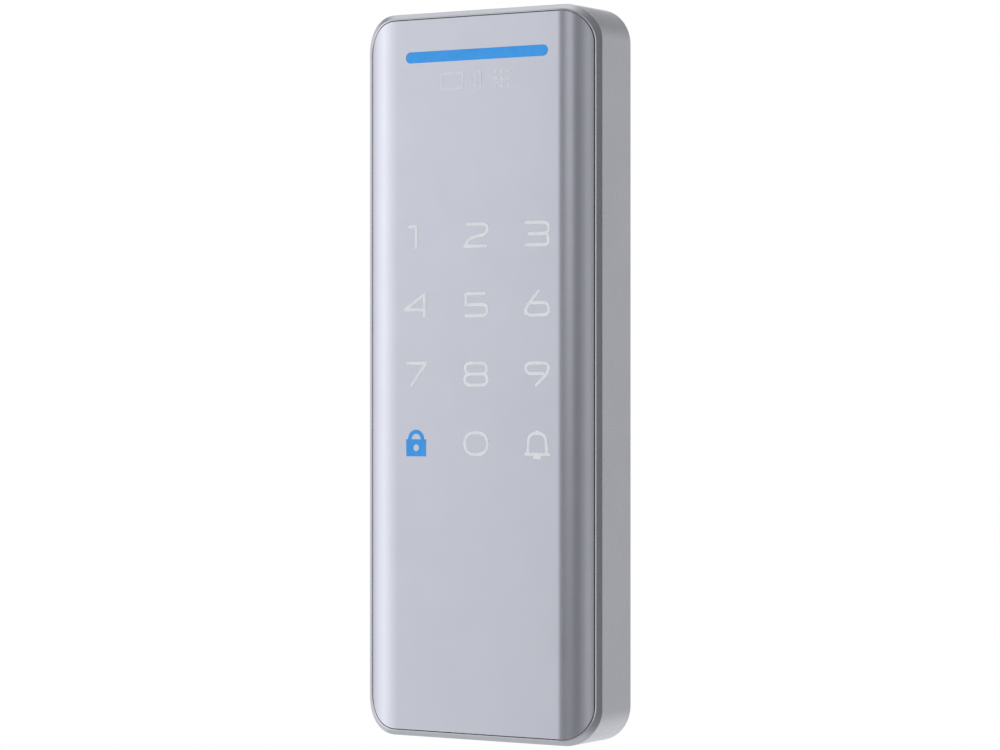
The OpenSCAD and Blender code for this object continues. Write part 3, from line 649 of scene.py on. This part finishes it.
def box_outline(half_w, y0, y1):
    """Outline in X-Y of a box that is centred across the reader."""
    return [(-half_w, y0), (half_w, y0), (half_w, y1), (-half_w, y1)]


def upright_tool(name, outline, z0, z1):
    """A solid for carving, with its outline in X-Y."""
    bm = bmesh.new()
    prism(bm, outline, z0, z1, "Z")
    return make_object(name, bm)


def build_housing():
    """The painted housing: side walls, sloping rim, panel recess, seal ledge and screw foot."""
    bm = bmesh.new()
    stations = rim_profile() + inside_profile()
    join_rings(bm, [ring(bm, *station) for station in stations], True)
    shell = make_object("housing_shell", bm)
    gap_half_w, gap_before_seal, gap_h = 7.7, 0.4, 8
    through_clear, head_clear, head_room = 0.2, 0.25, 0.5
    ledge_gap = upright_tool(
        "ledge_gap", box_outline(gap_half_w, CARVE_PAST, seal_front_y - gap_before_seal),
        bottom_z + wall_t, bottom_z + gap_h)
    carve(shell, ledge_gap, "DIFFERENCE")
    foot = upright_tool(
        "foot", box_outline(foot_half_w, -0.05, foot_front_y), bottom_z + wall_t / 2, bottom_z + foot_h)
    carve(shell, foot, "UNION")
    through_half = screw_r + through_clear
    recess_half = screw_head_r + head_clear
    recess_top = screw_head_z + screw_head_h + head_room
    through = upright_tool(
        "through_slot", slot_outline(through_half, screw_y),
        bottom_z - CARVE_PAST, bottom_z + foot_h + CARVE_PAST)
    carve(shell, through, "DIFFERENCE")
    recess = upright_tool(
        "head_slot", slot_outline(recess_half, screw_y), bottom_z - CARVE_PAST, recess_top)
    carve(shell, recess, "DIFFERENCE")
    even_shading(shell, 35)
    return shell


def build_bosses():
    """Screw bosses inside the housing, each on a web that ties it to the wall."""
    boss_r = 2.6
    bore_r = 1.6
    chamfer = 0.2
    web_half = 1.2
    web_start = 2.2
    board_t = 1.4
    front = low("touch_board").y + board_t
    web_end = body_w / 2 - wall_t + 0.5
    places = boss_places()
    bm = bmesh.new()
    for x, z in places:
        back = high("thread_inserts").y
        lathe(bm, [(bore_r, back), (boss_r - chamfer, back), (boss_r, back - chamfer),
                   (boss_r, front + chamfer), (boss_r - chamfer, front), (bore_r, front), (bore_r, back)],
              32, (x, 0, z), "Y")
        side = 1 if x > 0 else -1
        web = [(x + side * web_start, z - web_half), (side * web_end, z - web_half),
               (side * web_end, z + web_half), (x + side * web_start, z + web_half)]
        prism(bm, web, seal_back_y - chamfer, front)
    return make_object("housing_bosses", bm)


def boss_places():
    """Centres (x, z) of the six cover screws."""
    cavity_w = body_w - 2 * wall_t
    cavity_h = body_h - 2 * wall_t
    across = cavity_w / 2 - 4
    upward = cavity_h / 2 - 6
    return [(side * across, row * upward) for side in (-1, 1) for row in (-1, 0, 1)]


def build_panel():
    """The front panel, bent back along its sides, with soft edges and the light bar's slot."""
    inset = (body_w - panel_w) / 2
    edge = curve_points((panel_edge, 0), (0, 0), (0, panel_edge), 4)
    bm = bmesh.new()
    loops = []
    for step_in, depth in edge:
        loops.append(ring(bm, inset + step_in, panel_r - step_in, front_y + depth, panel_bend))
    loops.append(ring(bm, inset, panel_r, front_y + panel_t, panel_bend))
    join_rings(bm, loops, False)
    fill_columns(bm, loops[0])
    fill_columns(bm, loops[-1])
    panel = make_object("front_panel_skin", bm)
    slot = bmesh.new()
    bar_low, bar_high = low("light_bar"), high("light_bar")
    middle = (bar_low.z + bar_high.z) / 2
    outline = capsule(0, middle, bar_length(), bar_height())
    prism(slot, outline, front_y - CARVE_PAST, front_y + panel_t + CARVE_PAST)
    carve(panel, make_object("bar_slot", slot), "DIFFERENCE")
    even_shading(panel, 35)
    return panel


BAR_FLANGE = 1
BAR_FLANGE_T = 0.8


def bar_length():
    """Length of the light bar's face, without its flange."""
    return high("light_bar").x - low("light_bar").x - 2 * BAR_FLANGE


def bar_height():
    """Height of the light bar's face, without its flange."""
    return high("light_bar").z - low("light_bar").z - 2 * BAR_FLANGE


def build_light_bar():
    """The light bar's lens: a softly crowned face a hair smaller than its slot, on a flange."""
    gap = 0.07
    crown = 0.03
    middle = (low("light_bar").z + high("light_bar").z) / 2
    back = front_y + panel_t
    bm = bmesh.new()
    stations = [
        (-BAR_FLANGE, back + BAR_FLANGE_T), (-BAR_FLANGE, back), (gap, back),
        (gap, front_y + 0.12), (gap + 0.04, front_y + 0.05), (gap + 0.14, front_y + 0.02),
        (gap + 0.5, front_y + 0.02 - crown / 2), (gap + 0.9, front_y + 0.02 - crown),
    ]
    loops = []
    for inset, y in stations:
        points = capsule(0, middle, bar_length() - 2 * inset, bar_height() - 2 * inset)
        loops.append([bm.verts.new((x * MM, y * MM, z * MM)) for x, z in points])
    join_rings(bm, loops, False)
    bm.faces.new(loops[0])
    bm.faces.new(loops[-1])
    lens = make_object("light_bar_lens", bm)
    even_shading(lens)
    return lens


# ---- Small parts with their own detail ----

def build_security_screw():
    """The security screw: domed edge, hexagon recess with its pin, and a real thread."""
    place = (screw_x, screw_y, 0)
    seat = screw_head_z + screw_head_h
    pin_r, pin_end, recess_depth, recess_r_in, recess_r_out = 0.42, 1.6, 1.2, 1.15, 1.27
    rounding, shoulder, seat_edge = 0.12, 0.45, 0.08
    hexagon_flat, hexagon_r = 1.2, 1.4
    neck_r, core_r, tip_r = screw_r - 0.2, screw_r - 0.3, screw_r - 0.7
    head = [
        (pin_r, screw_head_z + pin_end), (pin_r, screw_head_z + recess_depth),
        (recess_r_in, screw_head_z + recess_depth), (recess_r_in, screw_head_z + rounding),
        (recess_r_out, screw_head_z), (screw_head_r - shoulder, screw_head_z),
        (screw_head_r - rounding, screw_head_z + rounding), (screw_head_r, screw_head_z + shoulder),
        (screw_head_r, seat - seat_edge), (screw_head_r - seat_edge, seat), (neck_r, seat),
    ]
    bm = bmesh.new()
    loops = lathe(bm, head, 48, place)
    bm.faces.new(loops[0])
    for loop in loops[2:4]:
        for vertex in loop:
            turn = math.atan2(vertex.co.y / MM - screw_y, vertex.co.x / MM)
            face_turn = (turn % (math.pi / 3)) - math.pi / 6
            reach = min(hexagon_flat / math.cos(face_turn), hexagon_r)
            vertex.co.x = reach * math.cos(turn) * MM
            vertex.co.y = (screw_y + reach * math.sin(turn)) * MM
    core = [(neck_r, seat), (core_r, seat + 0.2), (core_r, screw_tip_z - 0.4), (tip_r, screw_tip_z)]
    tip = lathe(bm, core, 32, place)
    bm.faces.new(tip[-1])
    pitch = 0.5
    run_out = 0.3
    thread(bm, place, screw_r - 0.34, screw_r - 0.02, seat + run_out, screw_tip_z - run_out, pitch)
    return make_object("security_screw_detail", bm, 30)


def thread(bm, place, root_r, crest_r, start, end, pitch):
    """A helical ridge round a screw's core."""
    steps = 24
    turns = (end - start) / pitch - 1
    ridge = ((root_r, 0), (crest_r, pitch * 0.38), (crest_r, pitch * 0.5), (root_r, pitch * 0.88))
    sections = []
    for i in range(int(turns * steps) + 1):
        turn = 2 * math.pi * i / steps
        rise = start + pitch * i / steps
        section = []
        for radius, offset in ridge:
            section.append(bm.verts.new(Vector((
                place[0] + radius * math.cos(turn), place[1] + radius * math.sin(turn), rise + offset,
            )) * MM))
        sections.append(section)
    join_rings(bm, sections, False)
    bm.faces.new(sections[0])
    bm.faces.new(sections[-1])


def build_grommet():
    """The cable grommet: two rounded lips either side of the rear cover, and a ribbed bore."""
    low_corner, high_corner = low("cable_grommet"), high("cable_grommet")
    x = (low_corner.x + high_corner.x) / 2
    z = (low_corner.z + high_corner.z) / 2
    flange_r = (high_corner.x - low_corner.x) / 2
    bore_r = flange_r - 3
    neck_r = bore_r + 1.2
    back, front = high_corner.y, low_corner.y
    flange_t = 0.8
    round_r = 0.3
    mouth_r = bore_r + 0.25
    groove_r = bore_r + 0.18
    rib_share = 0.7
    profile = [(mouth_r, back)]
    profile += curve_points((flange_r - round_r, back), (flange_r, back), (flange_r, back - round_r), 5)
    profile += [(flange_r, back - flange_t), (neck_r, back - flange_t), (neck_r, front + flange_t),
                (flange_r, front + flange_t)]
    profile += curve_points((flange_r, front + round_r), (flange_r, front), (flange_r - round_r, front), 5)
    profile += [(mouth_r, front)]
    ribs = 5
    for i in range(ribs):
        share = (i + 0.5) / ribs
        half = (back - front) / ribs / 2
        y = mix(front, back, share)
        profile += [(groove_r, y - half * rib_share), (bore_r, y), (groove_r, y + half * rib_share)]
    profile += [profile[0]]
    bm = bmesh.new()
    lathe(bm, profile, 64, (x, 0, z), "Y")
    bmesh.ops.remove_doubles(bm, verts=bm.verts, dist=WELD_DISTANCE * MM)
    return make_object("cable_grommet_lips", bm, 50)


def build_spring():
    """The tamper switch's spring, a coil of round wire with closed ends."""
    low_corner, high_corner = low("tamper_spring"), high("tamper_spring")
    wire_r = 0.18
    x = (low_corner.x + high_corner.x) / 2
    z = (low_corner.z + high_corner.z) / 2
    coil_r = (high_corner.x - low_corner.x) / 2 - wire_r
    start, end = high_corner.y - wire_r, low_corner.y + wire_r
    turns = 5
    closed_turns = 0.8
    steps = 28
    path = []
    for i in range(turns * steps + 1):
        share = i / (turns * steps)
        eased = min(max((share * turns - closed_turns) / (turns - 2 * closed_turns), 0), 1)
        turn = 2 * math.pi * share * turns
        path.append((x + coil_r * math.cos(turn), mix(start, end, eased), z + coil_r * math.sin(turn)))
    bm = bmesh.new()
    tube(bm, path, wire_r, 10)
    return make_object("tamper_spring_coil", bm, 60)


def squeeze_spring(spring):
    """Gives the coil its own copy of its mesh."""
    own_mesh(spring)


def copy_of(node, name):
    """A new piece with a CAD node's shape, its doubled points joined."""
    bm = bmesh.new()
    bm.from_mesh(frame["nodes"][node].data)
    bmesh.ops.remove_doubles(bm, verts=bm.verts, dist=WELD_DISTANCE * MM)
    return make_object(name, bm)


def depth_tool(name, outline, start, end):
    """A solid for carving, with its outline in X-Z."""
    bm = bmesh.new()
    prism(bm, outline, start, end)
    return make_object(name, bm)


def window_outline(x0, x1, z0, z1, r):
    """Outline in X-Z of a window with round corners."""
    steps = 6
    corners = ((x1 - r, z0 + r, 270), (x1 - r, z1 - r, 0), (x0 + r, z1 - r, 90), (x0 + r, z0 + r, 180))
    points = []
    for x, z, start in corners:
        for i in range(steps + 1):
            turn = math.radians(start + 90 / steps * i)
            points.append((x + r * math.cos(turn), z + r * math.sin(turn)))
    return points


def upright_capsule(x, z, length, width):
    """Outline in X-Z of a slot that stands upright."""
    return [(x + across, z + along) for along, across in capsule(0, 0, length, width)]


def build_wall_plate():
    """The wall plate: windows left where its hooks were bent out, pressed beads and worn edges."""
    plate = copy_of("wall_plate", "wall_plate_pressed")
    plate_t = 1.2
    hook_x, hook_half, hook_reach, hook_clear, window_r = 14, 4.7, 7.6, 0.2, 0.8
    hook_z = top_z - wall_t - 7.4
    pressed_x = 17
    bead_l, bead_w, bead_z, bead_depth = 62, 3.2, 18, 0.35
    slot_l, slot_w, slot_z = 10, 4.2, -52
    for side in (-1, 1):
        window = window_outline(
            side * hook_x - hook_half, side * hook_x + hook_half,
            hook_z - hook_reach, hook_z - hook_clear, window_r)
        carve(plate, depth_tool("hook_window", window, CARVE_PAST, -plate_t - 0.02), "DIFFERENCE")
        bead = upright_capsule(side * pressed_x, bead_z, bead_l, bead_w)
        carve(plate, depth_tool("bead", bead, CARVE_PAST, -bead_depth), "DIFFERENCE")
        slot = upright_capsule(side * pressed_x, slot_z, slot_l, slot_w)
        carve(plate, depth_tool("spare_slot", slot, CARVE_PAST, -plate_t - 0.5), "DIFFERENCE")
    bevel = plate.modifiers.new("worn_edges", "BEVEL")
    bevel.width = 0.12 * MM
    bevel.segments = 2
    bevel.limit_method = "ANGLE"
    bevel.angle_limit = math.radians(WORN_ANGLE)
    even_shading(plate, 40)
    return plate


# ---- CAD nodes that stay ----

EDGE_ROUNDING = {
    "rear_cover": 0.18,
    "screw_washer": 0.08,
    "tamper_plunger": 0.25,
    "tamper_switch": 0.15,
    "light_baffle": 0.15,
    "touch_board": 0.04,
    "main_board": 0.04,
    "antenna_board": 0.04,
    "microcontroller": 0.12,
    "reader_chip": 0.08,
    "touch_controller": 0.08,
    "power_regulator": 0.12,
    "power_inductor": 0.3,
    "capacitors": 0.06,
    "relay": 0.25,
    "buzzer": 0.3,
    "terminal_block": 0.15,
    "link_plug": 0.15,
    "link_socket": 0.15,
    "crystal": 0.15,
    "cover_screws": 0.08,
    "main_board_screws": 0.15,
    "touch_board_screws": 0.15,
    "terminal_screws": 0.08,
    "thread_inserts": 0.06,
}


def soften_cad_node(node, width):
    """Rounds a CAD node's edges and evens its shading."""
    part = frame["nodes"][node]
    weld = part.modifiers.new("weld", "WELD")
    weld.merge_threshold = WELD_DISTANCE * MM
    if width:
        bevel = part.modifiers.new("soft_edges", "BEVEL")
        bevel.width = width * MM
        bevel.segments = 2
        bevel.limit_method = "ANGLE"
        bevel.angle_limit = math.radians(WORN_ANGLE)
        bevel.use_clamp_overlap = True
        bevel.harden_normals = False
    even = part.modifiers.new("even_shading", "WEIGHTED_NORMAL")
    even.keep_sharp = True


def node_slots():
    """The record's material slot of each CAD node."""
    return {part["node"]: part["material_slot"] for part in frame["record"]["subparts"]}


# ---- Studio ----

# Direction round the reader in degrees, 0 in front of it and 90 to its right, then the light from
# just below and just above the horizon
SIDE_LIGHT = [
    (-180, 0.92, 0.92), (-150, 0.96, 0.96), (-128, 0.86, 0.88), (-112, 0.8, 0.84), (-92, 0.79, 0.84),
    (-78, 1.12, 1.17), (-62, 1.32, 1.42), (-50, 1.12, 1.2), (-40, 0.93, 1.02), (-33, 0.9, 1.01),
    (-31, 0.85, 0.96), (-30, 0.8, 0.9), (-28, 0.7, 0.77), (-26, 0.56, 0.58), (-23, 0.35, 0.37),
    (-20, 0.17, 0.19), (-16, 0.27, 0.48), (-9, 0.29, 0.69), (-4, 0.27, 0.65), (0, 0.21, 0.27),
    (8, 0.23, 0.24), (14, 0.35, 0.36), (21, 0.52, 0.52), (26, 0.52, 0.52), (30, 0.36, 0.36),
    (33, 0.17, 0.17), (60, 0.15, 0.15), (95, 0.13, 0.13), (122, 0.44, 0.44), (150, 0.54, 0.56),
    (180, 0.8, 0.8),
]
# How much of the light from above and below shows in each direction
STEEP_SHARE = [(-180, 1), (0, 1), (22, 0.3), (100, 0.3), (130, 1), (180, 1)]
# Height of the direction, from straight down to straight up, and light from there
HEIGHT_LIGHT = [
    (-1, 0.84), (-0.75, 0.86), (-0.52, 0.88), (-0.35, 0.78), (0.35, 0.22), (0.55, 0.3), (0.8, 0.95), (1, 1.0),
]


# How far either side of the horizon the two side lights blend, and where the steep light takes over
HORIZON_BLEND = 0.08
STEEP_START = 0.12
STEEP_FULL = 0.6

# Floor, and how far it lies below the reader
FLOOR_RADIUS = 900
FLOOR_DROP = 620
# Camera: its place in metres, its turn in degrees, and its lens and sensor in millimetres
CAMERA_SIDE = 0.381
CAMERA_FROM_FRONT = 0.6117
CAMERA_TURN = 31.5
LENS_LENGTH = 118.6
SENSOR_WIDTH = 36


def level(value):
    """A grey light level as a colour."""
    return (value, value, value, 1)


def add_world():
    """A soft studio all round: light boxes at the left, a dark gap at the right, pale floor and top."""
    world = bpy.data.worlds.new("studio")
    bpy.context.scene.world = world
    world.use_nodes = True
    tree = world.node_tree
    tree.nodes.clear()
    direction = add_node(tree, "ShaderNodeTexCoord").outputs["Generated"]
    parts = add_node(tree, "ShaderNodeSeparateXYZ", {"Vector": direction}).outputs
    forward = sum_of(tree, parts["Y"], -1, "MULTIPLY")
    turn = sum_of(tree, parts["X"], forward, "ARCTAN2")
    share = add_node(tree, "ShaderNodeMapRange", {
        "Value": turn, "From Min": -math.pi, "From Max": math.pi,
    }).outputs["Result"]
    lower = ramp(tree, share, [(angle / 360 + 0.5, level(below)) for angle, below, above in SIDE_LIGHT])
    upper = ramp(tree, share, [(angle / 360 + 0.5, level(above)) for angle, below, above in SIDE_LIGHT])
    rise = add_node(tree, "ShaderNodeMapRange", {
        "Value": parts["Z"], "From Min": -HORIZON_BLEND, "From Max": HORIZON_BLEND,
    }).outputs["Result"]
    around = add_node(tree, "ShaderNodeMix", {0: rise, 6: lower, 7: upper}, data_type="RGBA").outputs[2]
    height = add_node(tree, "ShaderNodeMapRange", {
        "Value": parts["Z"], "From Min": -1.0, "From Max": 1.0,
    }).outputs["Result"]
    upright = ramp(tree, height, [((z + 1) / 2, level(light)) for z, light in HEIGHT_LIGHT])
    steepness = add_node(tree, "ShaderNodeMapRange", {
        "Value": sum_of(tree, parts["Z"], 0, "ABSOLUTE"), "From Min": STEEP_START, "From Max": STEEP_FULL,
    }, interpolation_type="SMOOTHSTEP").outputs["Result"]
    steep_share = ramp(tree, share, [(angle / 360 + 0.5, level(part)) for angle, part in STEEP_SHARE])
    steepness = sum_of(tree, steepness, steep_share, "MULTIPLY")
    light = add_node(tree, "ShaderNodeMix", {0: steepness, 6: around, 7: upright}, data_type="RGBA")
    seen = add_node(tree, "ShaderNodeLightPath").outputs["Is Camera Ray"]
    shown = add_node(tree, "ShaderNodeMix", {0: seen, 6: light.outputs[2], 7: grey(255)}, data_type="RGBA")
    background = add_node(tree, "ShaderNodeBackground", {"Color": shown.outputs[2]})
    output = add_node(tree, "ShaderNodeOutputWorld")
    tree.links.new(background.outputs[0], output.inputs["Surface"])


def add_floor():
    """A plain pale floor well below the reader."""
    bm = bmesh.new()
    bmesh.ops.create_circle(bm, cap_ends=True, segments=64, radius=FLOOR_RADIUS * MM)
    floor = make_object("floor", bm)
    floor.location.z = (bottom_z - FLOOR_DROP) * MM
    material, tree, shader, place = new_material("floor_paper")
    grain = noise(tree, place, 3, 3.0)
    link(tree, ramp(tree, grain, [(0.3, grey(250)), (0.7, grey(254))]), shader, "Base Color")
    shader.inputs["Roughness"].default_value = 0.9
    link(tree, ramp(tree, grain, [(0.3, grey(250)), (0.7, grey(254))]), shader, "Emission Color")
    shader.inputs["Emission Strength"].default_value = 0.05
    floor.data.materials.append(material)


def add_camera():
    """The camera, level with the reader's middle and to its right."""
    lens = bpy.data.cameras.new("camera")
    lens.sensor_width = SENSOR_WIDTH
    lens.lens = LENS_LENGTH
    lens.clip_start = 0.02
    lens.clip_end = 20
    camera = bpy.data.objects.new("camera", lens)
    distance = CAMERA_FROM_FRONT - front_y * MM
    camera.location = (CAMERA_SIDE, -distance, 0)
    camera.rotation_euler = (math.radians(90), 0, math.radians(CAMERA_TURN))
    bpy.context.scene.collection.objects.link(camera)
    bpy.context.scene.camera = camera


def add_studio():
    """World light, floor, camera and plain tone mapping."""
    add_world()
    add_floor()
    add_camera()
    bpy.context.scene.view_settings.view_transform = "Standard"


# ---- Assembly ----

def place_piece(piece, body, slot, *nodes):
    """Gives a new piece its body and the material of its slot, and hides the CAD nodes it stands for."""
    piece.data.materials.clear()
    piece.data.materials.append(materials[slot])
    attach(piece, body)
    if nodes:
        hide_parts(*nodes)


def dress_cad_nodes(replaced):
    """Materials and soft edges for every CAD node that stays."""
    slots = node_slots()
    for node, part in frame["nodes"].items():
        part.data.materials.clear()
        part.data.materials.append(materials[slots[node]])
        if node not in replaced:
            soften_cad_node(node, EDGE_ROUNDING.get(node, 0))


materials = make_materials()
place_piece(build_housing(), "reader", "housing_plastic", "housing")
place_piece(build_bosses(), "reader", "housing_plastic", "housing")
place_piece(build_panel(), "reader", "panel_plastic", "front_panel")
place_piece(build_light_bar(), "reader", "light_lens", "light_bar")
place_piece(build_grommet(), "reader", "grommet_rubber", "cable_grommet")
tamper_coil = build_spring()
place_piece(tamper_coil, "reader", "spring_steel", "tamper_spring")
squeeze_spring(tamper_coil)
place_piece(build_security_screw(), "security_screw", "stainless", "security_screw")
place_piece(build_wall_plate(), "wall_plate", "plate_steel", "wall_plate")
dress_cad_nodes({
    "housing", "front_panel", "light_bar", "cable_grommet", "tamper_spring", "security_screw", "wall_plate",
})
add_studio()
